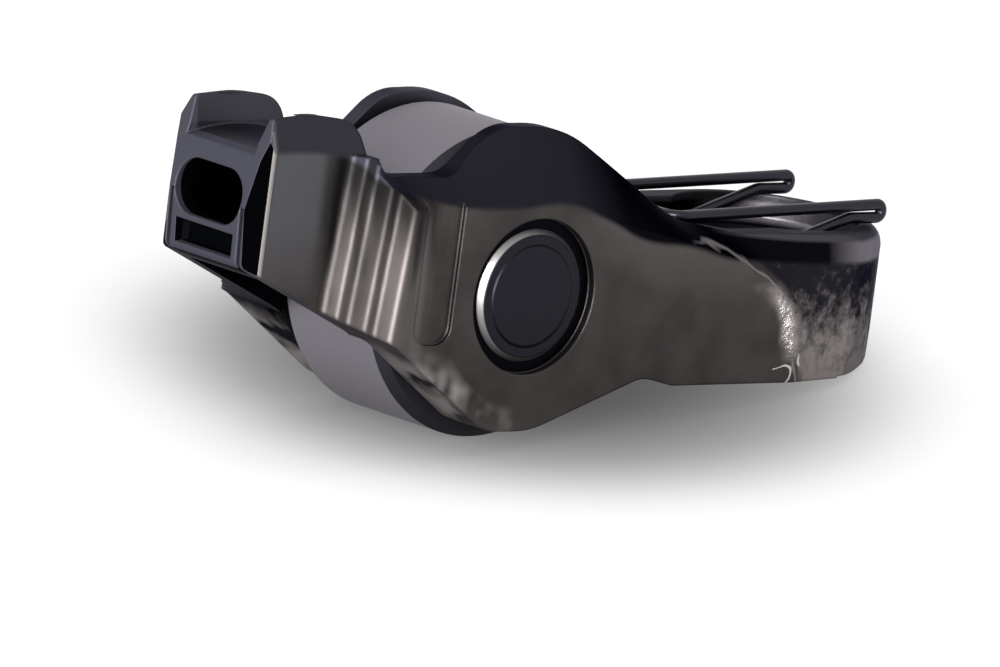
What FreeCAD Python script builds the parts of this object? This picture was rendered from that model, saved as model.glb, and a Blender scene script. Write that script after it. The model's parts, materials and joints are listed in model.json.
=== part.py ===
"""Roller finger follower (rocker arm) of an overhead-cam engine.

The arm's own frame has its origin at the centre of the axle. +X runs along the arm to the ball socket of the
lash adjuster, -X to the valve, Y across the arm, and +Z towards the side that faces the cylinder head in the
engine. The finished arm lies on its cam roller and on the foot of its socket end, with that side up.
"""
import FreeCAD, Part
import math
import os

from FreeCAD import Vector, Placement, Rotation

os.makedirs("parts", exist_ok=True)
doc = FreeCAD.newDocument("RockerArm")

# Driving dimensions in millimetres. Heights and lengths are measured from the axle's centre.
SIZES = [
    # cam roller, its needles and the axle pin
    ("roller_radius", 9.3),
    ("roller_width", 8.5),
    ("roller_edge", 0.5),
    ("roller_side_gap", 0.3),
    ("roller_relief", 0.15),
    ("pin_radius", 4.0),
    ("pin_inset", 0.2),
    ("pin_chamfer", 0.35),
    ("stake_radius", 4.7),
    ("stake_depth", 0.55),
    ("needle_radius", 0.8),
    ("needle_count", 18),
    ("needle_clearance", 0.01),
    ("needle_end_gap", 0.45),
    # arm walls
    ("wall", 3.25),
    ("rim_wall", 1.05),
    ("slot_gap", 0.6),
    ("hump_top", 9.8),
    ("hump_bottom", 8.1),
    ("valley_height", 6.9),
    ("wave_reach", 10.5),
    ("wave_lean", 5.0),
    ("wave_slope", 0.5),
    ("wave_tread", 0.6),
    ("flute_gap", 1.45),
    ("flute_width", 2.85),
    ("flute_foot", 2.8),
    ("flute_depth", 0.3),
    # valve end
    ("valve_reach", 15.3),
    ("valve_end", 19.6),
    ("stem_gap", 6.2),
    ("ear_wall", 1.25),
    ("ear_lean", 0.75),
    ("ear_relief", 0.3),
    ("ear_top", 10.2),
    ("ear_length", 7.1),
    ("pallet_height", 8.0),
    ("pallet_crown", 14.0),
    ("pallet_thickness", 1.5),
    ("end_wall", 2.0),
    ("end_bevel", 0.95),
    ("end_bevel_reach", 1.1),
    ("end_hole_width", 6.0),
    ("end_hole_height", 3.4),
    ("end_hole_level", 5.0),
    ("end_dish_width", 5.5),
    ("end_dish_depth", 0.7),
    ("end_dish_edge", 0.3),
    ("seam_width", 0.35),
    ("seam_depth", 0.7),
    ("tail_height", 1.15),
    ("flank_height", 2.9),
    ("flank_reach", 10.2),
    # socket end
    ("socket_reach", 24.6),
    ("ball_radius", 4.5),
    ("ball_height", 0.6),
    ("mouth_height", 1.3),
    ("mouth_chamfer", 0.35),
    ("end_radius", 7.1),
    ("basin_radius", 5.7),
    ("rim_height", 3.1),
    ("rim_round", 1.1),
    ("rim_run", 6.2),
    ("flank_taper", 0.65),
    ("taper_height", 2.6),
    ("kink_reach", 3.3),
    ("facet_height", 4.2),
    ("facet_set", 0.02),
    ("foot_depth", 5.6),
    ("foot_corner", 0.9),
    ("oil_hole", 0.6),
    # retaining clip
    ("wire_radius", 0.35),
    ("clip_fit", 0.05),
    ("clip_bar", 13.5),
    ("clip_stop", 0.25),
    ("clip_height", 3.8),
    ("clip_rise", 0.5),
    ("clip_corner", 30.1),
    ("clip_bend", 0.36),
    ("clip_return", 0.8),
    ("clip_dip", 27.6),
    ("clip_tip", 22.6),
    ("clip_tip_height", 1.95),
]
sheet = doc.addObject("Spreadsheet::Sheet", "Sizes")
for row, (alias, value) in enumerate(SIZES, start=1):
    sheet.set("A%d" % row, alias)
    sheet.set("B%d" % row, repr(value))
    sheet.setAlias("B%d" % row, alias)
doc.recompute()


def size(alias):
    """The value of one named size."""
    return float(sheet.get(alias))


# Sizes that follow from the driving ones.
slot_width = size("roller_width") + 2 * size("roller_side_gap")
arm_width = slot_width + 2 * size("wall")
valve_width = size("stem_gap") + 2 * size("ear_wall")
bore_radius = size("pin_radius") + 2 * size("needle_radius") + 2 * size("needle_clearance")
slot_reach = size("roller_radius") + size("slot_gap")
arm_end = size("socket_reach") + size("end_radius")
leg_side = slot_width / 2 - size("wire_radius") - size("clip_fit")
rim_side = slot_width / 2 + size("rim_wall")


def plane(body, role):
    """One of a body's own origin planes."""
    return [f for f in body.Origin.OriginFeatures if f.Role == role][0]


def new_body(name):
    body = doc.addObject("PartDesign::Body", name)
    body.Label = name
    return body


def new_sketch(body, role, name, offset=0.0, shift=0.0):
    """A sketch on an origin plane of the body, moved along its normal by offset and sideways by shift."""
    sketch = body.newObject("Sketcher::SketchObject", name)
    sketch.AttachmentSupport = [(plane(body, role), "")]
    sketch.MapMode = "FlatFace"
    sketch.AttachmentOffset = Placement(Vector(shift, 0, offset), Rotation())
    return sketch


def draw_rounded(sketch, corners):
    """Draw a closed outline of straight lines whose corners (x, y, radius) are rounded by tangent arcs."""
    count = len(corners)
    ends = []
    for i in range(count):
        here = Vector(corners[i][0], corners[i][1], 0)
        before = Vector(corners[i - 1][0], corners[i - 1][1], 0) - here
        after = Vector(corners[(i + 1) % count][0], corners[(i + 1) % count][1], 0) - here
        radius = corners[i][2]
        if radius <= 0:
            ends.append((here, None, here))
            continue
        before.normalize()
        after.normalize()
        half = before.getAngle(after) / 2
        reach = radius / math.tan(half)
        middle = before + after
        middle.normalize()
        centre = here + middle * (radius / math.sin(half))
        ends.append((here + before * reach, centre - middle * radius, here + after * reach))
    for i in range(count):
        start, through, stop = ends[i]
        if through is not None:
            sketch.addGeometry(Part.Arc(start, through, stop), False)
        following = ends[(i + 1) % count][0]
        if (following - stop).Length > 1e-6:
            sketch.addGeometry(Part.LineSegment(stop, following), False)


def draw_lines(sketch, points):
    draw_rounded(sketch, [(x, y, 0) for x, y in points])


def cut_in(body, sketch, name, expression):
    """Cut a sketch into the solid from its plane, against the plane's normal."""
    pocket = body.newObject("PartDesign::Pocket", name)
    pocket.Profile = sketch
    pocket.setExpression("Length", expression)
    return pocket


def cut_round(body, sketch, name, angle=360):
    """Cut a sketch by a turn about its own upright axis."""
    groove = body.newObject("PartDesign::Groove", name)
    groove.Profile = sketch
    groove.ReferenceAxis = (sketch, ["V_Axis"])
    groove.Angle = angle
    groove.Midplane = angle < 360
    return groove


def mirror_across(body, feature, name):
    """Repeat a feature on the far side of the arm's middle plane."""
    mirrored = body.newObject("PartDesign::Mirrored", name)
    mirrored.Originals = [feature]
    mirrored.MirrorPlane = (plane(body, "XZ_Plane"), [""])
    body.Tip = mirrored
    return mirrored


def pad_both(body, sketch, name, expression):
    """Pad a sketch by half of the length to each side of its plane."""
    pad = body.newObject("PartDesign::Pad", name)
    pad.Profile = sketch
    pad.SideType = "Symmetric"
    pad.setExpression("Length", expression)
    return pad


def cut_both(body, sketch, name, expression):
    """Cut a sketch through the solid by half of the length to each side of its plane."""
    pocket = body.newObject("PartDesign::Pocket", name)
    pocket.Profile = sketch
    pocket.SideType = "Symmetric"
    pocket.setExpression("Length", expression)
    return pocket


# Arm body: one precision casting, ground at the roller slot, the bores, the pallet and the foot.
arm = new_body("arm_body")

# Side outline, as seen from -Y: guide ears at the left, humps over the roller, foot and socket rim at the right.
valve_end = size("valve_end")
ear_left = -valve_end + 1.15
ear_right = ear_left + size("ear_length")
hump_top = size("hump_top")
valley = size("valley_height")
rim_height = size("rim_height")
foot = -size("foot_depth")
hump_low = -size("hump_bottom")
flank_x = -size("flank_reach")
flank_z = -size("flank_height")
side = new_sketch(arm, "XZ_Plane", "SideOutline")
draw_rounded(side, [
    (ear_left, size("ear_top") - 0.15, 0.25),
    (ear_left + 0.42 * size("ear_length"), size("ear_top") + 0.1, 9.0),
    (ear_right - 0.65, size("ear_top") - 0.35, 1.7),
    (ear_right + 0.2, valley, 1.4),
    (-5.9, valley, 2.2),
    (-2.7, hump_top, 4.0),
    (2.4, hump_top, 8.5),
    (12.2, 3.95, 8.0),
    (17.4, rim_height, 7.0),
    (arm_end, rim_height, 0),
    (arm_end, foot, 0),
    (11.8, foot, 2.0),
    (9.4, foot + 0.55, 2.5),
    (1.0, hump_low, 6.0),
    (-2.6, hump_low, 3.5),
    (flank_x, flank_z, 3.0),
    (-valve_end + 0.2, size("tail_height"), 0.5),
    (-valve_end, 4.6, 2.5),
    (-valve_end + 0.45, size("pallet_height") - 0.4, 1.2),
])
pad_both(arm, side, "Blank", "2 * Sizes.wall + Sizes.roller_width + 2 * Sizes.roller_side_gap")

# Plan outline: bevelled corners at the valve end, and a ground flank that breaks into the round socket end.
half_valve = valve_width / 2
half_arm = arm_width / 2
socket_x = size("socket_reach")
end_radius = size("end_radius")
margin = 6.0
kink_x = socket_x - size("kink_reach")
to_kink = math.hypot(size("kink_reach"), half_arm)
touch = math.atan2(half_arm, -size("kink_reach")) - math.acos(end_radius / to_kink)
run_in = (half_arm - end_radius * math.sin(touch)) / (socket_x + end_radius * math.cos(touch) - kink_x)
corner_y = half_arm - run_in * (arm_end - kink_x)
corner_half = (math.pi / 2 + math.atan(run_in)) / 2
bevel_run = size("end_bevel_reach") / size("end_bevel")
plan = new_sketch(arm, "XY_Plane", "PlanOutline")
half_plan = [
    (-valve_end - 0.5, half_valve - size("end_bevel") - 0.5 / bevel_run, 0),
    (-valve_end + size("end_bevel_reach"), half_valve, 0.35),
    (-size("wave_reach") - 4.5, half_valve, 0),
    (-size("wave_reach") - 4.5, half_arm, 0),
    (kink_x, half_arm, 2.5),
    (arm_end, corner_y, 0.99 * corner_y * math.tan(corner_half)),
]
draw_rounded(plan, half_plan + [(x, -y, r) for x, y, r in reversed(half_plan)])
draw_lines(plan, [
    (-valve_end - 2 * margin, -half_arm - margin),
    (arm_end + margin, -half_arm - margin),
    (arm_end + margin, half_arm + margin),
    (-valve_end - 2 * margin, half_arm + margin),
])
cut_both(arm, plan, "PlanTrim", "4 * Sizes.hump_top")

# Each flank steps in to the valve end by three rounded waves that lean a little with height.
step = (half_arm - half_valve) / 3
slope = size("wave_slope")
tread = size("wave_tread")
wave = new_sketch(arm, "XY_Plane", "Waves", 0.0)
wave.AttachmentOffset = Placement(Vector(-size("wave_reach"), 0, 0), Rotation(Vector(0, 1, 0), size("wave_lean")))
wave_x = -3 * slope - 2 * tread
half_wave = [
    (-6.5, half_valve, 0),
    (wave_x - 0.1, half_valve, 0.5),
    (wave_x + slope - 0.1, half_valve + 0.85 * step, 0.35),
    (wave_x + slope + tread, half_valve + 0.95 * step, 0.35),
    (wave_x + 2 * slope + tread, half_valve + 1.9 * step, 0.35),
    (-slope, half_valve + 2.05 * step, 0.35),
    (0.0, half_arm, 0.45),
    (0.5, half_arm, 0),
]
for side_sign in (1, -1):
    draw_rounded(wave, [(x, side_sign * y, r) for x, y, r in half_wave] + [
        (0.5, side_sign * (half_arm + 1.0), 0),
        (-6.5, side_sign * (half_arm + 1.0), 0),
    ])
cut_both(arm, wave, "WaveCut", "4 * Sizes.hump_top")
doc.recompute()

# The lower corner of the socket end is rounded at its tip and faceted to both sides of it.
tip_round = size("foot_corner")
tip_sweep = end_radius + 0.8
tip_corner = new_sketch(arm, "XZ_Plane", "TipCorner", 0.0, arm_end - tip_sweep)
turn = math.radians(45)
draw_lines(tip_corner, [
    (tip_sweep, foot + tip_round),
    (tip_sweep + margin, foot + tip_round),
    (tip_sweep + margin, foot - margin),
    (tip_sweep - tip_round, foot - margin),
    (tip_sweep - tip_round, foot),
    (tip_sweep - 0.293 * tip_round, foot + 0.293 * tip_round),
])
cut_round(arm, tip_corner, "TipCornerCut", 150)
facet_normal = Vector(0.55, -0.83, -0.11)
facet_normal.normalize()
level_out = Vector(facet_normal.x, facet_normal.y, 0)
level_out.normalize()
facet_spot = Vector(socket_x, 0, foot + size("facet_height")) + level_out * (end_radius - size("facet_set"))
facet = new_sketch(arm, "XY_Plane", "FootFacet")
facet.AttachmentOffset = Placement(facet_spot, Rotation(Vector(0, 0, 1), facet_normal))
draw_lines(facet, [(-9.0, -9.0), (9.0, -9.0), (9.0, 9.0), (-9.0, 9.0)])
trimmed = arm.newObject("PartDesign::Pocket", "FootFacetCut")
trimmed.Profile = facet
trimmed.Reversed = True
trimmed.setExpression("Length", "Sizes.end_radius")
mirror_across(arm, trimmed, "FootFacetFar")

# Upper walls lean inwards from the flat ground flanks to the narrow rims of the humps.
def lean_section(name, offset, bottom):
    """A region above a smooth curve, on a plane parallel to the arm's side."""
    sketch = new_sketch(arm, "XZ_Plane", name, offset)
    curve = Part.BSplineCurve()
    curve.interpolate([Vector(x, z, 0) for x, z in bottom])
    sketch.addGeometry(curve, False)
    first = Vector(bottom[0][0], bottom[0][1], 0)
    last = Vector(bottom[-1][0], bottom[-1][1], 0)
    roof = hump_top + margin
    corners = [last, Vector(last.x, roof, 0), Vector(first.x, roof, 0), first]
    for a, b in zip(corners, corners[1:]):
        sketch.addGeometry(Part.LineSegment(a, b), False)
    return sketch


# At the socket the lean runs on into the taper of the end.
lean_slope = size("taper_height") / size("flank_taper")
lean_outside = half_arm + 0.4
lean_low = rim_height - (lean_outside - end_radius + size("flank_taper")) * lean_slope
lean_high = rim_height + (end_radius - size("flank_taper") - rim_side) * lean_slope
outer_lean = lean_section("LeanOutside", lean_outside, [
    (flank_x - 3.4, valley + 1.2),
    (flank_x - 0.9, valley - 1.6),
    (-6.0, valley - 1.8),
    (0.0, hump_top - 5.2),
    (8.0, rim_height + 0.2),
    (13.0, rim_height - 0.6),
    (17.5, rim_height - 2.2),
    (20.8, rim_height - 4.9),
    (socket_x, lean_low),
    (arm_end, lean_low),
])
inner_lean = lean_section("LeanInside", rim_side, [
    (flank_x - 3.4, valley + 1.5),
    (flank_x - 0.9, valley + 0.15),
    (-6.0, valley + 0.45),
    (0.0, hump_top + 0.15),
    (8.0, 6.7),
    (13.0, 3.95),
    (17.5, rim_height + 0.4),
    (20.8, rim_height + 1.5),
    (socket_x, lean_high),
    (arm_end, lean_high),
])
lean = arm.newObject("PartDesign::SubtractiveLoft", "WallLean")
lean.Profile = outer_lean
lean.Sections = [inner_lean]
lean.Ruled = True
mirror_across(arm, lean, "WallLeanFar")

# Rounded outer edge of the rim, about the socket end and a little way along both flanks.
rim_round = size("rim_round")


def rim_section(role, name, offset, shift):
    """The corner to take off outside a quarter round, from the flank up to the top of the rim."""
    sketch = new_sketch(arm, role, name, offset, shift)
    centre_y = end_radius - rim_round
    centre_z = rim_height - rim_round
    sketch.addGeometry(Part.Arc(Vector(centre_y, rim_height, 0),
                                Vector(centre_y + rim_round * math.sin(turn),
                                       centre_z + rim_round * math.cos(turn), 0),
                                Vector(end_radius, centre_z, 0)), False)
    corners = [
        (end_radius, centre_z),
        (end_radius + margin, centre_z),
        (end_radius + margin, rim_height + margin),
        (centre_y, rim_height + margin),
        (centre_y, rim_height),
    ]
    for a, b in zip(corners, corners[1:]):
        sketch.addGeometry(Part.LineSegment(Vector(a[0], a[1], 0), Vector(b[0], b[1], 0)), False)
    return sketch


rim_end = rim_section("XZ_Plane", "RimRound", 0.0, socket_x)
cut_round(arm, rim_end, "RimRoundCut", 180)
rim_flank = rim_section("YZ_Plane", "RimFlank", socket_x, 0.0)
rim_cut = cut_in(arm, rim_flank, "RimFlankCut", "Sizes.rim_run")
mirror_across(arm, rim_cut, "RimFlankFar")

# Slot for the roller, with walls to both sides of it.
slot = new_sketch(arm, "XY_Plane", "RollerSlot")
half_slot = slot_width / 2
draw_rounded(slot, [
    (-slot_reach, -half_slot, 0.5),
    (slot_reach, -half_slot, 0.5),
    (slot_reach, half_slot, 0.5),
    (-slot_reach, half_slot, 0.5),
])
cut_both(arm, slot, "RollerSlotCut", "4 * Sizes.hump_top")

# Hollow under the pallet, open downwards and to the roller.
half_stem = size("stem_gap") / 2
ceiling = size("pallet_height") - size("pallet_thickness")
hollow = new_sketch(arm, "XZ_Plane", "ValveHollow")
draw_rounded(hollow, [
    (-valve_end + size("end_wall"), ceiling, 1.0),
    (-slot_reach + 1.0, ceiling, 0),
    (-slot_reach + 1.0, -hump_top, 0),
    (-valve_end + size("end_wall"), -hump_top, 0),
])
cut_both(arm, hollow, "ValveHollowCut", "Sizes.stem_gap")

# Oval hole through the end wall.
hole = new_sketch(arm, "YZ_Plane", "EndHole", -valve_end)
half_w = size("end_hole_width") / 2
half_h = size("end_hole_height") / 2
level = size("end_hole_level")
draw_rounded(hole, [
    (-half_w, level - half_h, 1.65),
    (half_w, level - half_h, 1.65),
    (half_w, level + half_h, 1.65),
    (-half_w, level + half_h, 1.65),
])
cut_both(arm, hole, "EndHoleCut", "4 * Sizes.end_wall")

# Dished face under the hole, and an upright seam to each side of it.
dish_top = level - half_h - 0.25
dish_low = size("tail_height") + 0.22
dish_edge = size("end_dish_edge")
half_dish = size("end_dish_width") / 2
face_x = -valve_end + 0.12
dish_outer = new_sketch(arm, "YZ_Plane", "EndDish", face_x - 0.3)
draw_lines(dish_outer, [
    (-half_dish, dish_low),
    (half_dish, dish_low),
    (half_dish, dish_top),
    (-half_dish, dish_top),
])
dish_inner = new_sketch(arm, "YZ_Plane", "EndDishFloor", face_x + size("end_dish_depth"))
draw_lines(dish_inner, [
    (-half_dish + 2 * dish_edge, dish_low + dish_edge),
    (half_dish - 2 * dish_edge, dish_low + dish_edge),
    (half_dish - 2 * dish_edge, dish_top - dish_edge),
    (-half_dish + 2 * dish_edge, dish_top - dish_edge),
])
dish = arm.newObject("PartDesign::SubtractiveLoft", "EndDishCut")
dish.Profile = dish_outer
dish.Sections = [dish_inner]
dish.Ruled = True
arm.Tip = dish
seam_y = half_w
seam = new_sketch(arm, "YZ_Plane", "EndSeam", -valve_end - 1.0)
for side_sign in (1, -1):
    inner = side_sign * seam_y
    outer = side_sign * (seam_y + size("seam_width"))
    draw_lines(seam, [
        (inner, -hump_top),
        (outer, -hump_top),
        (outer, level - 0.2 * half_h),
        (inner, level - 0.2 * half_h),
    ])
seam_cut = arm.newObject("PartDesign::Pocket", "EndSeamCut")
seam_cut.Profile = seam
seam_cut.Reversed = True
seam_cut.setExpression("Length", "1.0 + Sizes.seam_depth")

# Valve pallet: a crowned track between the guide ears.
pallet = new_sketch(arm, "XZ_Plane", "Pallet")
pallet_z = size("pallet_height")
crown = size("pallet_crown")
pallet_x = -size("valve_reach")
left = -valve_end - 2
right = -slot_reach + 0.5
sag_left = crown - math.sqrt(crown ** 2 - (left - pallet_x) ** 2)
sag_right = crown - math.sqrt(crown ** 2 - (right - pallet_x) ** 2)
track_top = pallet_z + 0.35
pallet.addGeometry(Part.Arc(Vector(left, track_top - sag_left, 0), Vector(pallet_x, track_top, 0),
                            Vector(right, track_top - sag_right, 0)), False)
pallet_roof = size("ear_top") + 2
for a, b in (
    ((right, track_top - sag_right), (right, pallet_roof)),
    ((right, pallet_roof), (left, pallet_roof)),
    ((left, pallet_roof), (left, track_top - sag_left)),
):
    pallet.addGeometry(Part.LineSegment(Vector(a[0], a[1], 0), Vector(b[0], b[1], 0)), False)
cut_both(arm, pallet, "PalletCut", "Sizes.stem_gap")

# Ears lean inwards above the pallet on the outside and are relieved on the inside.
ear_lean = new_sketch(arm, "YZ_Plane", "EarLean", -(slot_reach + valve_end) / 2 - 1.0)
draw_lines(ear_lean, [
    (half_valve + 0.01, pallet_z),
    (half_valve - size("ear_lean"), size("ear_top") + 0.01),
    (half_valve - size("ear_lean"), size("ear_top") + 2),
    (half_valve + 4, size("ear_top") + 2),
    (half_valve + 4, pallet_z),
])
cut_both(arm, ear_lean, "EarLeanCut", "Sizes.ear_length + 4")
mirror_across(arm, arm.Tip, "EarLeanFar")
ear_relief = new_sketch(arm, "YZ_Plane", "EarRelief", -(slot_reach + valve_end) / 2 - 1.0)
draw_lines(ear_relief, [
    (-half_stem - size("ear_relief"), size("ear_top") + 0.01),
    (-half_stem, pallet_z + 0.5),
    (half_stem, pallet_z + 0.5),
    (half_stem + size("ear_relief"), size("ear_top") + 0.01),
])
cut_both(arm, ear_relief, "EarReliefCut", "Sizes.ear_length + 4")

# Shallow upright flute in each flank, just behind the step, with a rounded foot.
flute = new_sketch(arm, "XZ_Plane", "Flute", half_arm)
flute_x = -size("wave_reach") + size("flute_gap")
draw_rounded(flute, [
    (flute_x, -size("flute_foot"), 1.1),
    (flute_x + size("flute_width"), -size("flute_foot"), 1.1),
    (flute_x + size("flute_width"), hump_top, 0),
    (flute_x, hump_top, 0),
])
cut_in(arm, flute, "FluteCut", "Sizes.flute_depth")
mirror_across(arm, arm.Tip, "FluteFar")

# Channel behind the roller: a ledge with a low stop for the clip's cross-bar, then a slope into the basin.
ledge = size("clip_height") - size("wire_radius")
stop = size("clip_bar") - size("wire_radius") - size("clip_fit")
channel = new_sketch(arm, "XZ_Plane", "Channel")
basin_floor = size("mouth_height")
draw_rounded(channel, [
    (slot_reach - 1.0, ledge + size("clip_stop"), 0),
    (stop, ledge + size("clip_stop"), 0),
    (stop, ledge, 0),
    (size("clip_bar") + 1.1, ledge, 0.8),
    (socket_x - size("basin_radius") + 0.6, basin_floor, 1.2),
    (socket_x, basin_floor, 0),
    (socket_x, hump_top, 0),
    (slot_reach - 1.0, hump_top, 0),
])
cut_both(arm, channel, "ChannelCut", "Sizes.roller_width + 2 * Sizes.roller_side_gap")

# Ball socket with its straight mouth, and the round basin about it.
ball = size("ball_radius")
ball_z = size("ball_height")
lip = size("mouth_chamfer")
cup = new_sketch(arm, "XZ_Plane", "BallSocket", 0.0, socket_x)
turn = math.radians(45)
cup.addGeometry(Part.Arc(Vector(0, ball_z - ball, 0),
                         Vector(ball * math.sin(turn), ball_z - ball * math.cos(turn), 0),
                         Vector(ball, ball_z, 0)), False)
cup_points = [
    (ball, ball_z),
    (ball, basin_floor - lip),
    (ball + lip, basin_floor),
    (size("basin_radius") - 0.4, basin_floor),
    (size("basin_radius"), basin_floor + 0.4),
    (size("basin_radius"), hump_top),
    (0, hump_top),
    (0, ball_z - ball),
]
for a, b in zip(cup_points, cup_points[1:]):
    cup.addGeometry(Part.LineSegment(Vector(a[0], a[1], 0), Vector(b[0], b[1], 0)), False)
cut_round(arm, cup, "BallSocketCut")

# Oil hole from the bottom of the socket to the foot.
oil = new_sketch(arm, "XY_Plane", "OilHole", 0.0)
oil.addGeometry(Part.Circle(Vector(socket_x, 0, 0), Vector(0, 0, 1), size("oil_hole")), False)
cut_both(arm, oil, "OilHoleCut", "4 * Sizes.foot_depth")

# Bores for the axle pin, with the wider recess in which each of its ends is staked.
bore = new_sketch(arm, "XZ_Plane", "PinBore")
bore.addGeometry(Part.Circle(Vector(0, 0, 0), Vector(0, 0, 1), size("pin_radius")), False)
cut_both(arm, bore, "PinBoreCut", "4 * Sizes.wall + 2 * Sizes.roller_width")
stake = new_sketch(arm, "XZ_Plane", "StakeRecess", half_arm)
stake.addGeometry(Part.Circle(Vector(0, 0, 0), Vector(0, 0, 1), size("stake_radius")), False)
cut_in(arm, stake, "StakeRecessCut", "Sizes.stake_depth")
mirror_across(arm, arm.Tip, "StakeRecessFar")

# Cam roller: a ground ring with broken edges and a shallow relief in each side face.
roller = new_body("cam_roller")
half_roller = size("roller_width") / 2
roller_radius = size("roller_radius")
edge = size("roller_edge")
relief = size("roller_relief")
land = bore_radius + 0.9
ring = new_sketch(roller, "YZ_Plane", "RingSection")
draw_lines(ring, [
    (-half_roller, roller_radius - edge),
    (-half_roller + edge, roller_radius),
    (half_roller - edge, roller_radius),
    (half_roller, roller_radius - edge),
    (half_roller, land + 1.2),
    (half_roller - relief, land + 1.0),
    (half_roller - relief, bore_radius + 0.2),
    (half_roller - relief - 0.2, bore_radius),
    (-half_roller + relief + 0.2, bore_radius),
    (-half_roller + relief, bore_radius + 0.2),
    (-half_roller + relief, land + 1.0),
    (-half_roller, land + 1.2),
])


def turn_round(body, sketch, name):
    """Turn a sketch a full circle about its own level axis."""
    revolution = body.newObject("PartDesign::Revolution", name)
    revolution.Profile = sketch
    revolution.ReferenceAxis = (sketch, ["H_Axis"])
    revolution.Angle = 360
    return revolution


turn_round(roller, ring, "Ring")

# Axle pin: a hard steel pin with broken edges, set a little inside the flanks.
pin = new_body("axle_pin")
half_pin = arm_width / 2 - size("pin_inset")
pin_radius = size("pin_radius")
pin_edge = size("pin_chamfer")
rod = new_sketch(pin, "YZ_Plane", "PinSection")
draw_lines(rod, [
    (-half_pin, 0),
    (-half_pin, pin_radius - pin_edge),
    (-half_pin + pin_edge, pin_radius),
    (half_pin - pin_edge, pin_radius),
    (half_pin, pin_radius - pin_edge),
    (half_pin, 0),
])
turn_round(pin, rod, "Pin")

# Retaining clip: one spring wire. The cross-bar lies in the ledge, both legs run along the rims to the end,
# turn back on themselves and dip past the neck of the ball. Its section is drawn with many flat sides.
bar_x = size("clip_bar")
bar_z = size("clip_height")
corner_x = size("clip_corner")
corner_z = bar_z + size("clip_rise")
tip_x = size("clip_tip")
tip_z = size("clip_tip_height")
bend = size("clip_bend")
wire = size("wire_radius")


def bent_path(points):
    """A wire of straight runs joined by tangent arcs; each point is (x, y, z, bend radius)."""
    edges = []
    start = Vector(*points[0][:3])
    for i in range(1, len(points) - 1):
        here = Vector(*points[i][:3])
        to_before = Vector(*points[i - 1][:3]) - here
        to_after = Vector(*points[i + 1][:3]) - here
        to_before.normalize()
        to_after.normalize()
        half = to_before.getAngle(to_after) / 2
        reach = points[i][3] / math.tan(half)
        middle = to_before + to_after
        middle.normalize()
        centre = here + middle * (points[i][3] / math.sin(half))
        first = here + to_before * reach
        last = here + to_after * reach
        if (first - start).Length > 1e-6:
            edges.append(Part.LineSegment(start, first).toShape())
        edges.append(Part.Arc(first, centre - middle * points[i][3], last).toShape())
        start = last
    edges.append(Part.LineSegment(start, Vector(*points[-1][:3])).toShape())
    return Part.Wire(edges)


leg_points = [
    (tip_x, leg_side, tip_z, 0),
    (size("clip_dip"), leg_side, corner_z - size("clip_return"), 1.5),
    (corner_x, leg_side, corner_z - size("clip_return"), bend),
    (corner_x, leg_side, corner_z, bend),
    (bar_x, leg_side, bar_z, 1.0),
]
path = doc.addObject("Part::Feature", "ClipPath")
path.Shape = bent_path(leg_points + [(x, -y, z, r) for x, y, z, r in reversed(leg_points)])
start_edge = path.Shape.Edges[0]
direction = start_edge.tangentAt(start_edge.FirstParameter)
section = doc.addObject("Part::RegularPolygon", "ClipSection")
section.Polygon = 18
section.setExpression("Circumradius", "Sizes.wire_radius")
section.Placement = Placement(start_edge.valueAt(start_edge.FirstParameter), Rotation(Vector(0, 0, 1), direction))
clip = doc.addObject("Part::Sweep", "retaining_clip")
clip.Label = "retaining_clip"
clip.Sections = [section]
clip.Spine = (path, ["Edge%d" % (i + 1) for i in range(len(path.Shape.Edges))])
clip.Solid = True
clip.Frenet = False

# Needles: a full set of loose rollers, evenly spread between the pin and the ring, drawn with many flat sides.
pitch_radius = pin_radius + size("needle_radius") + size("needle_clearance")
needles = []
for index in range(int(size("needle_count"))):
    needle = doc.addObject("Part::Prism", "needle_%02d" % (index + 1))
    needle.Label = needle.Name
    needle.Polygon = 24
    needle.setExpression("Circumradius", "Sizes.needle_radius")
    needle.setExpression("Height", "Sizes.roller_width - 2 * Sizes.needle_end_gap")
    needles.append(needle)
doc.recompute()

# Resting pose: the arm tips about the axle until the foot's corner at the socket end is as low as the roller.
lever_x = arm_end - size("foot_corner")
lever_z = size("foot_depth")
lever = math.hypot(lever_x, lever_z)
tip_angle = math.asin(roller_radius / lever) - math.atan2(lever_z, lever_x)
tipped = Rotation(Vector(0, 1, 0), math.degrees(tip_angle))
spread = []
for body in (arm, roller, clip):
    shape = body.Shape.copy()
    shape.Placement = Placement(Vector(0, 0, 0), tipped)
    spread.append(shape.optimalBoundingBox())
middle_x = (min(b.XMin for b in spread) + max(b.XMax for b in spread)) / 2
rest = Placement(Vector(-middle_x, 0, roller_radius), tipped)
for body in (arm, roller, pin, clip):
    body.Placement = rest
needle_length = size("roller_width") - 2 * size("needle_end_gap")
for index, needle in enumerate(needles):
    angle = 2 * math.pi * index / len(needles)
    place = Vector(pitch_radius * math.cos(angle), needle_length / 2, pitch_radius * math.sin(angle))
    needle.Placement = rest.multiply(Placement(place, Rotation(Vector(1, 0, 0), 90)))
doc.recompute()

# Check every object, then write one file for each piece.
for item in doc.Objects:
    if "Invalid" in item.State or "Error" in item.State:
        raise RuntimeError("failed object: " + item.Name)
pieces = [arm, roller, pin, clip] + needles
for piece in pieces:
    if piece.Shape.isNull() or not piece.Shape.isValid():
        raise RuntimeError("bad shape: " + piece.Label)
    if len(piece.Shape.Solids) != 1:
        raise RuntimeError("not one solid: " + piece.Label)
for piece in pieces:
    piece.Shape.exportStep("parts/%s.step" % piece.Label)
print("tip angle", round(math.degrees(tip_angle), 4), "axle at", [round(v, 4) for v in rest.Base])
print("volumes", {p.Label: round(p.Shape.Volume, 2) for p in pieces[:5]})
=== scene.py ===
import json
import math

import bpy
from mathutils import Matrix, Vector

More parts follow.
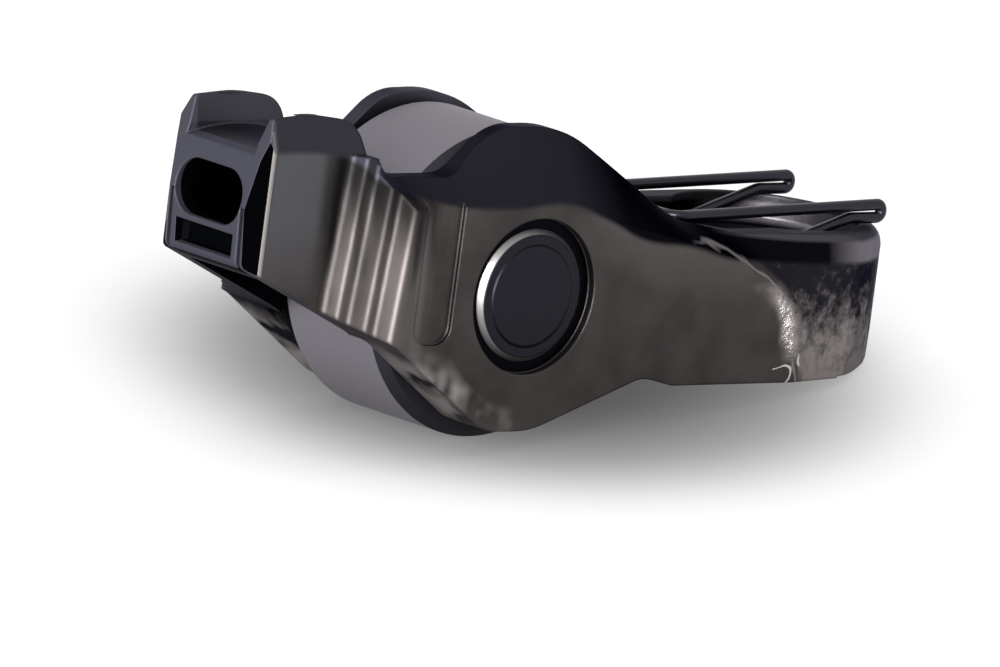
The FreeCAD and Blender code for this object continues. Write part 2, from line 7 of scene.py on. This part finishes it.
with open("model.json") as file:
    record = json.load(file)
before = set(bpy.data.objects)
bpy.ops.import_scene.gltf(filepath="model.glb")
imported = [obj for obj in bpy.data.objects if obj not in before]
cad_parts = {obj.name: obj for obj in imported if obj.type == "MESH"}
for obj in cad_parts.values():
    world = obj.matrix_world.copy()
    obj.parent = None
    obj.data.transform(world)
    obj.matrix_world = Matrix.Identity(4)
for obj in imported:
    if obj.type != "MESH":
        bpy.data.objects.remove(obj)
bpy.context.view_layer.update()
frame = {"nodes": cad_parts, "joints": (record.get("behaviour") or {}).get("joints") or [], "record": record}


# Arm body: one precision casting of case-hardened steel, dark from the hardening. Its flanks are ground flat
# about the axle; the humps, the guide ears and the socket end keep the cast skin. The wall breaks in waves near
# the valve end. The arm lies tipped, on its roller and on the foot of its socket end.
MM = 0.001
AXLE = Vector(next(joint for joint in frame["joints"] if joint["name"] == "roller_spin")["pos_m"])
MOUTH = Vector(next(mount for mount in frame["record"]["mounts"] if mount["name"] == "ball_socket")["axis"])
TIP_ANGLE = math.atan2(MOUTH.x, MOUTH.z)

# Every size in this script is in millimetres until it is used. The arm's own frame starts on the axle, with X
# along the arm to its socket, Y across it and Z upwards, and all of the arm's places are in that frame.
END_WALL = -18.4
SOCKET = Vector((24.6, 0.0, 0.0))
FLANK_MIDDLE = Vector((12.0, 0.0, -6.5))
FLANK_RADIUS = 9.7
BORDER_ALONG = (-22.0, 34.0)
BORDER_UP = (-10.0, 10.0)
SKIN_BORDER = ((-22.0, 7.7), (-13.0, 7.7), (-11.0, 6.4), (-8.0, 5.6), (-3.0, 5.2), (2.0, 5.4), (5.0, 4.5),
               (8.6, 3.1), (12.0, 2.7), (16.0, 1.8), (34.0, 1.5))
SKIN_FADE = (-0.15, 0.3)
BAND_INSET = 0.1
BAND_HALF = 1.15
BAND_WANDER = 0.9
EDGE_ROUND = 0.18
WAVE_ROUND = 0.30
GRAIN_DEPTH = 0.05
CRUMPLE_DEPTH = 0.35
HIGHLIGHT_STREAK_SIZE = (0.909, 3.333, 7.692)
FLANK_ROUGHNESS = 0.42
END_WALL_ROUGHNESS = 0.62


def linear(hex_colour):
    """An sRGB hex value turned to the linear numbers that shaders take."""
    parts = [int(hex_colour[start:start + 2], 16) / 255 for start in (0, 2, 4)]
    return [part / 12.92 if part <= 0.04045 else ((part + 0.055) / 1.055) ** 2.4 for part in parts] + [1.0]


def add(tree, kind, inputs=None, **settings):
    """Add one shader node. An input is a value, a socket, or a node that stands for its first live output."""
    node = tree.nodes.new(kind)
    for name, value in settings.items():
        setattr(node, name, value)
    for name, value in (inputs or {}).items():
        if isinstance(value, bpy.types.Node):
            value = next(socket for socket in value.outputs if socket.enabled)
        if isinstance(value, bpy.types.NodeSocket):
            tree.links.new(value, node.inputs[name])
        else:
            node.inputs[name].default_value = value
    return node


def new_finish(name):
    """A material with the name of its finish and an empty shader tree."""
    material = bpy.data.materials.new(name)
    material.use_nodes = True
    material.node_tree.nodes.clear()
    return material


def put_on(material, pieces):
    """Put the material on every slot of the named pieces."""
    for piece in pieces:
        for slot in frame["nodes"][piece].material_slots:
            slot.material = material


# Hardened cast steel: a dark brownish grey with a soft gleam on the ground flanks, a blue-black skin above
# them, darkened further by painted shade where its faces turn upwards, and a mottled skin round the socket end,
# behind one crumpled line that is painted bright as a highlight.
arm_steel = new_finish("hardened cast steel, flanks ground")
tree = arm_steel.node_tree
coords = add(tree, "ShaderNodeTexCoord")
from_axle = add(tree, "ShaderNodeVectorMath", {0: coords.outputs["Object"], 1: AXLE}, operation="SUBTRACT")
own = add(tree, "ShaderNodeVectorRotate", {"Vector": from_axle, "Axis": (0, 1, 0), "Angle": -TIP_ANGLE},
          rotation_type="AXIS_ANGLE")
x, y, z = add(tree, "ShaderNodeSeparateXYZ", {"Vector": own}).outputs
facing = add(tree, "ShaderNodeNewGeometry").outputs["True Normal"]

# Unevenness at several sizes: the way from one patch to the next, then its detail and its roughness.
uneven = {}
for name, size, detail, roughness in (("wander", 3.125, 2.0, 0.5), ("mottle", 0.909, 4.0, 0.7),
                                      ("fold", 2.083, 1.0, 0.4), ("cloud", 3.846, 3.0, 0.5),
                                      ("grain", 0.6667, 3.0, 0.6)):
    uneven[name] = add(tree, "ShaderNodeTexNoise", {"Vector": own, "Scale": 1 / (size * MM), "Detail": detail,
                                                    "Roughness": roughness})

# Painted highlight streaks on the waves, by their width along the arm, their depth across it and their length
# upwards.
per_streak = [1 / (size * MM) for size in HIGHLIGHT_STREAK_SIZE]
streak_way = add(tree, "ShaderNodeVectorMath", {0: own, 1: per_streak}, operation="MULTIPLY")
highlight_streaks = add(tree, "ShaderNodeTexNoise", {"Vector": streak_way, "Scale": 1.0, "Detail": 2.0,
                                           "Roughness": 0.5})

# How far a point lies from the end of the ground flank's arc, from the socket's middle and from the axle.
reach = {}
for name, middle, ways in (("flank", FLANK_MIDDLE, (1, 0, 1)), ("socket", SOCKET, (1, 1, 0)),
                           ("axle", Vector((0.0, 0.0, 0.0)), (1, 0, 1))):
    from_middle = add(tree, "ShaderNodeVectorMath", {0: own, 1: middle * MM}, operation="SUBTRACT")
    flattened = add(tree, "ShaderNodeVectorMath", {0: from_middle, 1: ways}, operation="MULTIPLY")
    reach[name] = add(tree, "ShaderNodeVectorMath", {0: flattened}, operation="LENGTH")

# The dark skin's lower border runs under the hump and then falls round the socket end.
along = add(tree, "ShaderNodeMapRange", {"Value": x, "From Min": BORDER_ALONG[0] * MM,
                                         "From Max": BORDER_ALONG[1] * MM})
border = add(tree, "ShaderNodeFloatCurve", {"Value": along})
spots = [((spot_along - BORDER_ALONG[0]) / (BORDER_ALONG[1] - BORDER_ALONG[0]),
          (spot_up - BORDER_UP[0]) / (BORDER_UP[1] - BORDER_UP[0])) for spot_along, spot_up in SKIN_BORDER]
curve = border.mapping.curves[0]
curve.points[0].location = spots[0]
curve.points[-1].location = spots[-1]
for spot in spots[1:-1]:
    curve.points.new(*spot)
border.mapping.update()
border_height = add(tree, "ShaderNodeMapRange", {"Value": border, "To Min": BORDER_UP[0] * MM,
                                                 "To Max": BORDER_UP[1] * MM})
over = add(tree, "ShaderNodeMath", {0: z, 1: border_height}, operation="SUBTRACT")
skin = add(tree, "ShaderNodeMapRange", {"Value": over, "From Min": SKIN_FADE[0] * MM,
                                        "From Max": SKIN_FADE[1] * MM}, interpolation_type="SMOOTHSTEP")

# The crumpled line wanders along the flank's arc.
wandering = add(tree, "ShaderNodeMapRange", {"Value": uneven["wander"], "To Min": -BAND_WANDER * MM,
                                             "To Max": BAND_WANDER * MM})
flank_reach = add(tree, "ShaderNodeMath", {0: reach["flank"], 1: wandering}, operation="ADD")
band_place = add(tree, "ShaderNodeMath", {0: flank_reach, 1: (FLANK_RADIUS - BAND_INSET) * MM},
                 operation="SUBTRACT")
band_away = add(tree, "ShaderNodeMath", {0: band_place}, operation="ABSOLUTE")
band_line = add(tree, "ShaderNodeMapRange", {"Value": band_away, "From Min": BAND_HALF * MM, "From Max": 0.0},
                interpolation_type="SMOOTHSTEP")

# Zones that fade in along a measure, from where there is none of them to where there is all.
zone = {}
for name, measure, none_at, all_at in (
        ("past the flank", flank_reach, FLANK_RADIUS, FLANK_RADIUS + 0.7),
        ("socket end", x, 16.0, 19.0),
        ("foot", z, 0.8, -6.0),
        ("band top", z, 0.6, -1.2),
        ("band foot", z, -4.6, -3.2),
        ("band length", x, 12.0, 14.0),
        ("fold foot", z, -2.8, -3.4),
        ("hair line", band_away, 0.2, 0.05),
        ("painted light low on the wall", z, -6.0, -8.5),
        ("ear", x, -14.2, -14.8),
        ("ear height", z, -1.0, 4.0),
        ("under the skin", over, -2.8, -0.3),
        ("past the pin", x, 2.0, 4.5),
        ("wave start", x, -14.2, -13.4),
        ("wave end", x, -7.6, -8.6),
        ("ear skin", x, -10.0, -12.0),
        ("far side", y, 2.0, 3.0),
        ("slope", x, 2.5, 7.0),
        ("land", x, 24.0, 27.5),
        ("land height", z, 0.9, 1.5),
        ("rim", over, 1.25, 1.45),
        ("rim end", x, 15.0, 18.0),
        ("end wall", x, END_WALL + 0.2, END_WALL),
        ("basin", reach["socket"], 5.6, 5.3),
        ("socket", reach["socket"], 4.6, 4.3),
        ("wall edge", reach["axle"], 6.6, 7.6),
        ("wall left", x, 0.5, -2.0),
        ("wall low", z, -3.0, -5.0)):
    zone[name] = add(tree, "ShaderNodeMapRange", {"Value": measure, "From Min": none_at * MM,
                                                  "From Max": all_at * MM})

# Zones with a sharp border: below a limit, or within a distance of a middle.
across = add(tree, "ShaderNodeMath", {0: y}, operation="ABSOLUTE")
for name, measure, test, limit, distance in (
        ("between walls", across, "LESS_THAN", 3.25, 0.0),
        ("valve end", x, "COMPARE", -13.9, 5.2),
        ("under the ears", z, "LESS_THAN", 7.0, 0.0),
        ("far wall", y, "COMPARE", 5.5, 2.1),
        ("far wall low", z, "LESS_THAN", 2.5, 0.0),
        ("before the socket", x, "LESS_THAN", 4.0, 0.0),
        ("ear edge", x, "COMPARE", END_WALL - 0.14, 0.11),
        ("near side", y, "LESS_THAN", -3.9, 0.0),
        ("stake ring", reach["axle"], "LESS_THAN", 4.66, 0.0),
        ("folds", reach["flank"], "COMPARE", FLANK_RADIUS - 0.7, 1.1)):
    zone[name] = add(tree, "ShaderNodeMath", {0: measure, 1: limit * MM, 2: distance * MM}, operation=test)

# Patches by the unevenness and by the way a face looks.
fold_line = add(tree, "ShaderNodeMath", {0: uneven["fold"], 1: 0.52, 2: 0.018}, operation="COMPARE")
band_patch = add(tree, "ShaderNodeMapRange", {"Value": uneven["mottle"], "From Min": 0.35, "From Max": 0.6,
                                              "To Min": 0.45})
glint_patch = add(tree, "ShaderNodeMapRange", {"Value": uneven["wander"], "From Min": 0.42, "From Max": 0.62})
far_way = add(tree, "ShaderNodeVectorMath", {0: facing, 1: (0, 1, 0)}, operation="DOT_PRODUCT")
turned_in = add(tree, "ShaderNodeMath", {0: far_way, 1: 0.3}, operation="LESS_THAN")
# Faces turned towards the front panel lamp; on the end wall these get painted shade.
corner_way = add(tree, "ShaderNodeVectorMath", {0: facing, 1: (-0.707, -0.707, 0)}, operation="DOT_PRODUCT")
corner_shade = add(tree, "ShaderNodeMapRange", {"Value": corner_way, "From Min": 0.72, "From Max": 0.86})

# Places where several of these meet. A number makes the place that much weaker.
place = {}
for name, parts in (
        ("cast end", (zone["past the flank"], zone["socket end"])),
        ("band", (band_line, zone["band top"], zone["band foot"], band_patch)),
        ("folds", (fold_line, zone["folds"], zone["fold foot"])),
        ("hair line", (zone["hair line"], 0.3)),
        ("pale ear", (zone["ear"], zone["ear height"])),
        ("painted sheen", (zone["under the skin"], zone["past the pin"], 0.35)),
        ("waves", (zone["wave start"], zone["wave end"])),
        ("land", (zone["land"], zone["land height"])),
        ("rim", (zone["rim"], zone["rim end"])),
        ("hollow", (zone["between walls"], zone["under the ears"], zone["valve end"])),
        ("shaded inside of the far wall", (zone["far wall"], zone["far wall low"], zone["before the socket"], turned_in)),
        ("painted edge highlight", (zone["ear edge"], zone["near side"])),
        ("painted glints", (zone["wall left"], zone["wall low"], zone["wall edge"], glint_patch))):
    place[name] = parts[0]
    for part in parts[1:]:
        place[name] = add(tree, "ShaderNodeMath", {0: place[name], 1: part}, operation="MULTIPLY")
# The crumpled line is real relief in its bump, and its pale colour is a painted highlight.
lines = add(tree, "ShaderNodeMath", {0: place["band"], 1: place["folds"]}, operation="MAXIMUM")
all_lines = add(tree, "ShaderNodeMath", {0: lines, 1: place["hair line"]}, operation="MAXIMUM")
crumple_and_highlight = add(tree, "ShaderNodeMath", {0: all_lines, 1: zone["band length"]}, operation="MULTIPLY")

# The socket end has a real mottle, and is painted paler towards its foot as painted light from below and darker
# at its top as painted shade. On the waves a painted highlight stands for the light on the risers, most of it
# low down and near the flute.
speck = add(tree, "ShaderNodeMath", {0: uneven["mottle"], 1: 0.5}, operation="SUBTRACT")
end_mottle_and_light = add(tree, "ShaderNodeMath", {0: speck, 1: 1.7, 2: zone["foot"]}, operation="MULTIPLY_ADD")
wave_low = add(tree, "ShaderNodeMapRange", {"Value": z, "From Min": 7.0 * MM, "From Max": 0.5 * MM,
                                            "To Min": -0.30, "To Max": 0.15})
wave_last = add(tree, "ShaderNodeMapRange", {"Value": x, "From Min": -13.5 * MM, "From Max": -9.5 * MM,
                                             "To Max": 0.15})
streaks_low = add(tree, "ShaderNodeMath", {0: highlight_streaks, 1: wave_low}, operation="ADD")
wave_highlight = add(tree, "ShaderNodeMath", {0: streaks_low, 1: wave_last}, operation="ADD")
ground_tone = add(tree, "ShaderNodeValToRGB", {"Fac": uneven["cloud"]})
end_tone = add(tree, "ShaderNodeValToRGB", {"Fac": end_mottle_and_light})
wave_highlight_tone = add(tree, "ShaderNodeValToRGB", {"Fac": wave_highlight})
for ramp, course, dark_at, dark, light_at, light in ((ground_tone, "LINEAR", 0.32, "383535", 0.70, "494544"),
                                                     (end_tone, "EASE", 0.05, "222126", 0.95, "837c7a"),
                                                     (wave_highlight_tone, "EASE", 0.25, "1d1c1c", 0.95, "5d5857")):
    ramp.color_ramp.interpolation = course
    dark_stop, light_stop = ramp.color_ramp.elements
    dark_stop.position = dark_at
    dark_stop.color = linear(dark)
    light_stop.position = light_at
    light_stop.color = linear(light)

# The skin's dark base is partly painted shade on faces that turn upwards. It is greyer on the ears. The far
# side is painted paler as painted light, the slope is painted nearly black as painted shade, and the land at
# the tip and the rim's edge are painted paler as painted highlights.
skin_and_shade_tone = linear("25242a")
for part, colour in ((zone["ear skin"], "36353c"), (zone["far side"], "43424a"), (zone["slope"], "0d0d11"),
                     (place["land"], "79747a"), (place["rim"], "444246")):
    skin_and_shade_tone = add(tree, "ShaderNodeMix", {0: part, 6: skin_and_shade_tone, 7: linear(colour)}, data_type="RGBA")

# The end wall is blue-black, and its corner facets, which face the front panel lamp, are painted darker still
# as shade.
end_wall_tone = add(tree, "ShaderNodeMix", {0: corner_shade, 6: linear("4d4d57"), 7: linear("020203")},
                    data_type="RGBA")

# The tones lie over one another in this order, from the ground flank outwards.
tone = ground_tone
for part, colour in (
        # Painted light: the lowest part of the wall is paler, as if lit from the floor below.
        (zone["painted light low on the wall"], linear("595251")),
        # A painted sheen on the upper flank past the pin.
        (place["painted sheen"], linear("66605e")),
        (place["pale ear"], linear("555457")),
        # Painted highlights on the wave risers.
        (place["waves"], wave_highlight_tone),
        (place["cast end"], end_tone),
        (skin, skin_and_shade_tone),
        (crumple_and_highlight, linear("c6bebc")),
        (zone["end wall"], end_wall_tone),
        # Painted shade on the low inner face of the far wall.
        (place["shaded inside of the far wall"], linear("141419")),
        # Painted shade in the basin round the socket, darkest in the ball socket itself.
        (zone["basin"], linear("1a1a1f")),
        (zone["socket"], linear("040405")),
        # A painted highlight along the near ear's front edge.
        (place["painted edge highlight"], linear("6a6664")),
        # Painted shade in the hollow between the walls at the valve end.
        (place["hollow"], linear("090a0e")),
        # Painted highlights in patches low on the wall, just before the axle.
        (place["painted glints"], linear("b8b0ae")),
        # Painted shade in the staking recess round the pin.
        (zone["stake ring"], linear("0d0d11"))):
    tone = add(tree, "ShaderNodeMix", {0: part, 6: tone, 7: colour}, data_type="RGBA")

round_edge = add(tree, "ShaderNodeMapRange", {"Value": place["waves"], "To Min": EDGE_ROUND * MM,
                                              "To Max": WAVE_ROUND * MM})
edge = add(tree, "ShaderNodeBevel", {"Radius": round_edge}, samples=6)
grain_strength = add(tree, "ShaderNodeMapRange", {"Value": place["cast end"], "To Min": 0.12, "To Max": 0.6})
relief = add(tree, "ShaderNodeBump", {"Strength": grain_strength, "Distance": GRAIN_DEPTH * MM,
                                      "Height": uneven["grain"], "Normal": edge})
crumple = add(tree, "ShaderNodeBump", {"Strength": 1.0, "Distance": CRUMPLE_DEPTH * MM, "Height": crumple_and_highlight,
                                       "Normal": relief})
gleam = add(tree, "ShaderNodeMapRange", {"Value": zone["end wall"], "To Min": FLANK_ROUGHNESS,
                                         "To Max": END_WALL_ROUGHNESS})
surface = add(tree, "ShaderNodeBsdfPrincipled", {"Base Color": tone, "Metallic": 1.0, "Roughness": gleam,
                                                 "Specular Tint": linear("aaaaaf"), "Normal": crumple})
add(tree, "ShaderNodeOutputMaterial", {"Surface": surface})
put_on(arm_steel, ["arm_body"])


# Cam roller: a ring of through-hardened bearing steel, ground all over, which runs on the needles between the
# walls. Its track is matt and pale from the grinding, and its side faces are painted darker as shade.
TRACK_HALF = 3.68
SIDE_FADE = 0.08
ROLLER_EDGE = 0.12
roller_steel = new_finish("ground bearing steel")
tree = roller_steel.node_tree
coords = add(tree, "ShaderNodeTexCoord")
x, y, z = add(tree, "ShaderNodeSeparateXYZ", {"Vector": coords.outputs["Object"]}).outputs
across = add(tree, "ShaderNodeMath", {0: y}, operation="ABSOLUTE")
# Painted shade: the side faces are darker than the track.
shaded_sides = add(tree, "ShaderNodeMapRange", {"Value": across, "From Min": TRACK_HALF * MM,
                                         "From Max": (TRACK_HALF + SIDE_FADE) * MM})
tone = add(tree, "ShaderNodeMix", {0: shaded_sides, 6: linear("7a767d"), 7: linear("2d2c31")}, data_type="RGBA")
edge = add(tree, "ShaderNodeBevel", {"Radius": ROLLER_EDGE * MM}, samples=4)
surface = add(tree, "ShaderNodeBsdfPrincipled", {"Base Color": tone, "Metallic": 1.0, "Roughness": 0.6,
                                                 "Normal": edge})
add(tree, "ShaderNodeOutputMaterial", {"Surface": surface})
put_on(roller_steel, ["cam_roller"])


# Bearing needles: a loose full set of hardened rollers between the pin and the ring, drawn, ground and
# polished. They are out of sight when the arm is whole, and have the even grey gleam of polished steel.
needle_steel = new_finish("polished needle steel")
tree = needle_steel.node_tree
surface = add(tree, "ShaderNodeBsdfPrincipled", {"Base Color": linear("7e7d7c"), "Metallic": 1.0,
                                                 "Roughness": 0.25})
add(tree, "ShaderNodeOutputMaterial", {"Surface": surface})
put_on(needle_steel, [name for name in frame["nodes"] if name.startswith("needle_")])


# Axle pin: a hardened steel pin, pushed through both walls and the needles and staked at its ends. Its end
# faces are dark, with a shallow step round the middle and a bright turned chamfer.
PIN_FACE = 3.68
CHAMFER_FADE = 0.05
STEP_INNER = 2.95
STEP_OUTER = 3.15
STEP_DEPTH = 0.22
PIN_EDGE = 0.12
pin_steel = new_finish("dark hardened pin steel")
tree = pin_steel.node_tree
coords = add(tree, "ShaderNodeTexCoord")
from_axle = add(tree, "ShaderNodeVectorMath", {0: coords.outputs["Object"], 1: AXLE}, operation="SUBTRACT")
flattened = add(tree, "ShaderNodeVectorMath", {0: from_axle, 1: (1, 0, 1)}, operation="MULTIPLY")
off_axis = add(tree, "ShaderNodeVectorMath", {0: flattened}, operation="LENGTH")
chamfer = add(tree, "ShaderNodeMapRange", {"Value": off_axis, "From Min": PIN_FACE * MM,
                                           "From Max": (PIN_FACE + CHAMFER_FADE) * MM})
tone = add(tree, "ShaderNodeMix", {0: chamfer, 6: linear("25242a"), 7: linear("8a8787")}, data_type="RGBA")
step = add(tree, "ShaderNodeMapRange", {"Value": off_axis, "From Min": STEP_INNER * MM,
                                        "From Max": STEP_OUTER * MM}, interpolation_type="SMOOTHSTEP")
edge = add(tree, "ShaderNodeBevel", {"Radius": PIN_EDGE * MM}, samples=4)
relief = add(tree, "ShaderNodeBump", {"Strength": 1.0, "Distance": STEP_DEPTH * MM, "Height": step,
                                      "Normal": edge}, invert=True)
surface = add(tree, "ShaderNodeBsdfPrincipled", {"Base Color": tone, "Metallic": 1.0, "Roughness": 0.38,
                                                 "Normal": relief})
add(tree, "ShaderNodeOutputMaterial", {"Surface": surface})
put_on(pin_steel, ["axle_pin"])


# Retaining clip: one length of drawn spring wire, bent to lie on the ledge round the socket and to hold the
# lash adjuster's ball there. It is blued, which makes it a smooth blue-grey with sharp highlights.
wire_steel = new_finish("blued spring wire")
tree = wire_steel.node_tree
surface = add(tree, "ShaderNodeBsdfPrincipled", {"Base Color": linear("323238"), "Metallic": 1.0,
                                                 "Roughness": 0.32})
add(tree, "ShaderNodeOutputMaterial", {"Surface": surface})
put_on(wire_steel, ["retaining_clip"])


# Floor: a wide sheet of white paper that the arm lies on and casts its shadow on. Under the arm it turns grey
# in a wide soft oval, a painted shadow in the paper's own colour. Most of its tone glows, so that the dim room
# doesn't grey the rest.
FLOOR_HALF = 3000.0
OVAL_MIDDLE = Vector((5.4, 7.2, 0.0))
OVAL_HALF = Vector((22.4, 30.1, 1000.0))
OVAL_TURN = math.radians(-20.5)
OVAL_REACH = 2.0
GLOW_SHARE = 0.80


def ray_seen(tree):
    """One for rays from the camera, off metal or through glass, and nought for the rest."""
    path = add(tree, "ShaderNodeLightPath")
    seen = add(tree, "ShaderNodeMath", {0: path.outputs["Is Camera Ray"], 1: path.outputs["Is Glossy Ray"]},
               operation="MAXIMUM")
    return add(tree, "ShaderNodeMath", {0: seen, 1: path.outputs["Is Transmission Ray"]}, operation="MAXIMUM")


board = bpy.data.meshes.new("floor_paper")
board.from_pydata([(FLOOR_HALF * MM * side, FLOOR_HALF * MM * depth, 0)
                   for side, depth in ((-1, -1), (1, -1), (1, 1), (-1, 1))], [], [(0, 1, 2, 3)])
floor = bpy.data.objects.new("floor_paper", board)
bpy.context.scene.collection.objects.link(floor)
paper = new_finish("white paper, painted shadow oval")
tree = paper.node_tree
coords = add(tree, "ShaderNodeTexCoord")
oval = add(tree, "ShaderNodeMapping", {"Vector": coords.outputs["Object"], "Location": OVAL_MIDDLE * MM,
                                       "Rotation": (0, 0, OVAL_TURN), "Scale": OVAL_HALF * MM},
           vector_type="TEXTURE")
oval_reach = add(tree, "ShaderNodeVectorMath", {0: oval}, operation="LENGTH")
outwards = add(tree, "ShaderNodeMath", {0: oval_reach, 1: OVAL_REACH}, operation="DIVIDE")
# The painted shadow: grey in the middle of the oval, fading to white at its rim.
painted_shadow = add(tree, "ShaderNodeValToRGB", {"Fac": outwards})
painted_shadow.color_ramp.interpolation = "B_SPLINE"
stops = painted_shadow.color_ramp.elements
for stop_at, grey in ((0.16, "636363"), (0.26, "7d7d7d"), (0.36, "9b9b9b"), (0.44, "c4c4c4"),
                      (0.52, "e7e7e7"), (0.62, "f6f6f6")):
    stops.new(stop_at).color = linear(grey)
stops[0].color = linear("616161")
stops[-1].position = 0.80
stops[-1].color = linear("fcfcfc")
lit = add(tree, "ShaderNodeBsdfDiffuse", {"Color": painted_shadow})
glow = add(tree, "ShaderNodeEmission", {"Color": painted_shadow})
glow_seen = add(tree, "ShaderNodeMath", {0: ray_seen(tree), 1: GLOW_SHARE}, operation="MULTIPLY")
surface = add(tree, "ShaderNodeMixShader", {"Fac": glow_seen, 1: lit, 2: glow})
add(tree, "ShaderNodeOutputMaterial", {"Surface": surface})
board.materials.append(paper)


# Studio: a wide soft lamp above draws the arm's own shadow, and a panel in front lights the edges and the
# risers that face it. The room is white where it is seen or mirrored, and dim where it lights the paper.
TOP_WAY = (0.10, 0.15, 0.97)
TOP_SPREAD = math.radians(100)
TOP_STRENGTH = 2.6
PANEL_WAY = (-0.72, -0.60, 0.12)
PANEL_DISTANCE = 600.0
PANEL_WIDTH = 360.0
PANEL_HEIGHT = 600.0
PANEL_WATTS = 14.0
LAMP_AIM = Vector((0.0, 0.0, 10.0))


def lamp(name, kind, energy, way, distance, **settings):
    """A lamp at a distance along a direction from the arm, turned back to it and out of sight."""
    data = bpy.data.lights.new(name, kind)
    data.energy = energy
    for key, value in settings.items():
        setattr(data, key, value)
    holder = bpy.data.objects.new(name, data)
    way = Vector(way).normalized()
    turned = way.to_track_quat("Z", "Y").to_matrix().to_4x4()
    holder.matrix_world = Matrix.Translation((way * distance + LAMP_AIM) * MM) @ turned
    holder.visible_camera = False
    bpy.context.scene.collection.objects.link(holder)
    return holder


top_lamp = lamp("soft_top", "SUN", TOP_STRENGTH, TOP_WAY, 0.0, angle=TOP_SPREAD)
top_lamp.visible_glossy = False
lamp("front_panel", "AREA", PANEL_WATTS, PANEL_WAY, PANEL_DISTANCE, shape="RECTANGLE", size=PANEL_WIDTH * MM,
     size_y=PANEL_HEIGHT * MM)

world = bpy.data.worlds.new("studio_room")
world.use_nodes = True
tree = world.node_tree
tree.nodes.clear()
dim_room = add(tree, "ShaderNodeBackground", {"Color": linear("a2a4b1")})
white_room = add(tree, "ShaderNodeBackground", {"Color": linear("ffffff")})
surface = add(tree, "ShaderNodeMixShader", {"Fac": ray_seen(tree), 1: dim_room, 2: white_room})
add(tree, "ShaderNodeOutputWorld", {"Surface": surface})
bpy.context.scene.world = world


# Camera: a very long lens, so that the arm's edges stay nearly parallel. It stands a little above the arm, to
# the left of its near flank, and is rolled slightly.
CAMERA_AZIMUTH = math.radians(-41.059)
CAMERA_ELEVATION = math.radians(14.638)
CAMERA_ROLL = math.radians(-2.134)
CAMERA_LENS = 1000.0
CAMERA_FILM = 36.0
CAMERA_NEAR = 10.0
CAMERA_DISTANCE = 1634.0
CAMERA_AIM = Vector((-8.124, -6.963, 7.152))

back = Vector((math.sin(CAMERA_AZIMUTH) * math.cos(CAMERA_ELEVATION),
               -math.cos(CAMERA_AZIMUTH) * math.cos(CAMERA_ELEVATION), math.sin(CAMERA_ELEVATION)))
level = Vector((math.cos(CAMERA_AZIMUTH), math.sin(CAMERA_AZIMUTH), 0.0))
upright = back.cross(level)
right = level * math.cos(CAMERA_ROLL) - upright * math.sin(CAMERA_ROLL)
above = upright * math.cos(CAMERA_ROLL) + level * math.sin(CAMERA_ROLL)
lens = bpy.data.cameras.new("camera")
lens.lens = CAMERA_LENS
lens.sensor_width = CAMERA_FILM
lens.clip_start = CAMERA_NEAR * MM
camera = bpy.data.objects.new("camera", lens)
camera.matrix_world = Matrix.Translation((CAMERA_AIM + back * CAMERA_DISTANCE) * MM) @ \
    Matrix((right, above, back)).transposed().to_4x4()
bpy.context.scene.collection.objects.link(camera)
bpy.context.scene.camera = camera

bpy.context.scene.view_settings.view_transform = "Standard"
